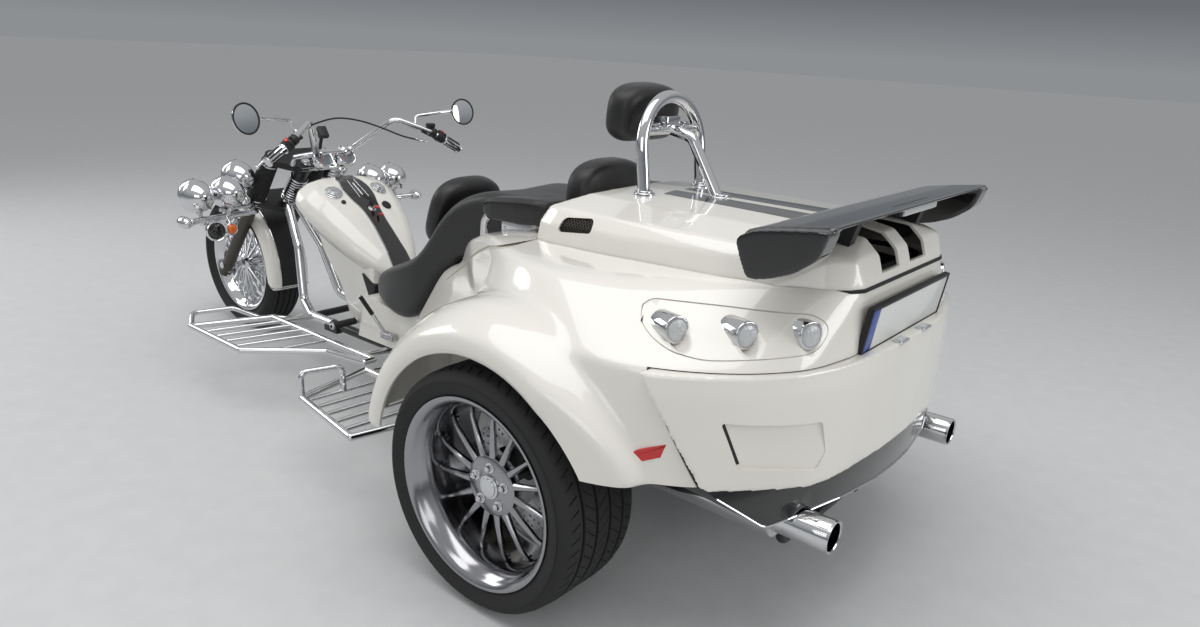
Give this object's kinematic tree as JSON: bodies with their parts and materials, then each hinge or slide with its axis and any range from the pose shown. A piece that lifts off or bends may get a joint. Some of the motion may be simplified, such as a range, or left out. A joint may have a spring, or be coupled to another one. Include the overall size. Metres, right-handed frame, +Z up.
{
  "type": "motorized trike",
  "caption": "Rear-engined three-wheeler with a raked fork, pulled-back handlebar, stepped saddle, tubular footboards and a wide moulded luggage body with a hinged lid.",
  "frame": {"origin": "on the ground, in the middle of the whole outline", "axes": "+X forward, +Y to the rider's left, +Z up"},
  "size_m": [3.7, 1.732, 1.352],
  "materials": {
    "leather": "smooth black leathercloth",
    "chrome": "polished",
    "white_paint": "gloss pearl white lacquer on moulded fibreglass",
    "frame_paint": "satin black powder coat",
    "black_satin": "satin",
    "black_gloss": "gloss black lacquer",
    "cast_alloy": "cast",
    "fork_grey": "satin grey",
    "rubber": "ribbed",
    "tyre": "moulded",
    "lamp_glass": "clear ribbed lens in a bright ring",
    "plate": "blank reflective plate in a black frame",
    "dark_chrome": "dark polished",
    "red_lens": "prismatic"
  },
  "bodies": {
    "body": {"armrest_pads": "leather", "armrest_tubes": "chrome", "body_shell": "white_paint", "chassis_frame": "frame_paint", "diffuser": "black_gloss", "engine_block": "cast_alloy", "exhaust_left": "chrome", "exhaust_right": "chrome", "filler_caps": "chrome", "foot_pegs": "chrome", "front_cowl": "white_paint", "fuel_tank": "white_paint", "hand_brake": "black_satin", "number_plate": "plate", "passenger_backrest": "leather", "pillion_footboard_left": "chrome", "pillion_footboard_right": "chrome", "plate_lamps": "chrome", "rear_axle": "frame_paint", "rear_bumper": "white_paint", "reflectors": "red_lens", "rider_backrest": "leather", "rider_footboard_left": "chrome", "rider_footboard_right": "chrome", "seat": "leather", "tail_lamps": "lamp_glass", "tank_console": "black_gloss", "tunnel_cover": "white_paint"},
    "steering": {"fork": "fork_grey", "fork_boots": "rubber", "handlebar": "chrome", "grips": "chrome", "hand_controls": "black_satin", "mirrors": "chrome", "gauges": "chrome", "lamp_bar": "chrome", "headlamps": "chrome", "indicators": "chrome", "front_fender": "white_paint", "clutch_cable": "black_satin"},
    "front_wheel": {"front_tyre": "tyre", "front_rim": "chrome"},
    "rear_wheel_left": {"rear_tyre_left": "tyre", "rear_rim_left": "dark_chrome"},
    "rear_wheel_right": {"rear_tyre_right": "tyre", "rear_rim_right": "dark_chrome"},
    "lid": {"lid_shell": "white_paint", "roll_hoop": "chrome", "headrest": "leather", "spoiler": "black_gloss", "high_brake_lamp": "lamp_glass"}
  },
  "joints": [
    {"name": "steer", "type": "hinge", "parent": "body", "child": "steering", "pos_m": [1.07851, 0, 0.76338], "axis": [-0.6428, 0, 0.766], "range_deg": [-28, 28]},
    {"name": "front_wheel_spin", "type": "hinge", "parent": "steering", "child": "front_wheel", "pos_m": [1.523, 0, 0.327], "axis": [0, 1, 0], "continuous": true},
    {"name": "rear_wheel_left_spin", "type": "hinge", "parent": "body", "child": "rear_wheel_left", "pos_m": [-1.045, 0.723, 0.339], "axis": [0, 1, 0], "continuous": true},
    {"name": "rear_wheel_right_spin", "type": "hinge", "parent": "body", "child": "rear_wheel_right", "pos_m": [-1.045, -0.723, 0.339], "axis": [0, 1, 0], "continuous": true},
    {"name": "lid_hinge", "type": "hinge", "parent": "body", "child": "lid", "pos_m": [-1.766, 0, 0.946], "axis": [0, -1, 0], "range_deg": [0, 60]}
  ]
}
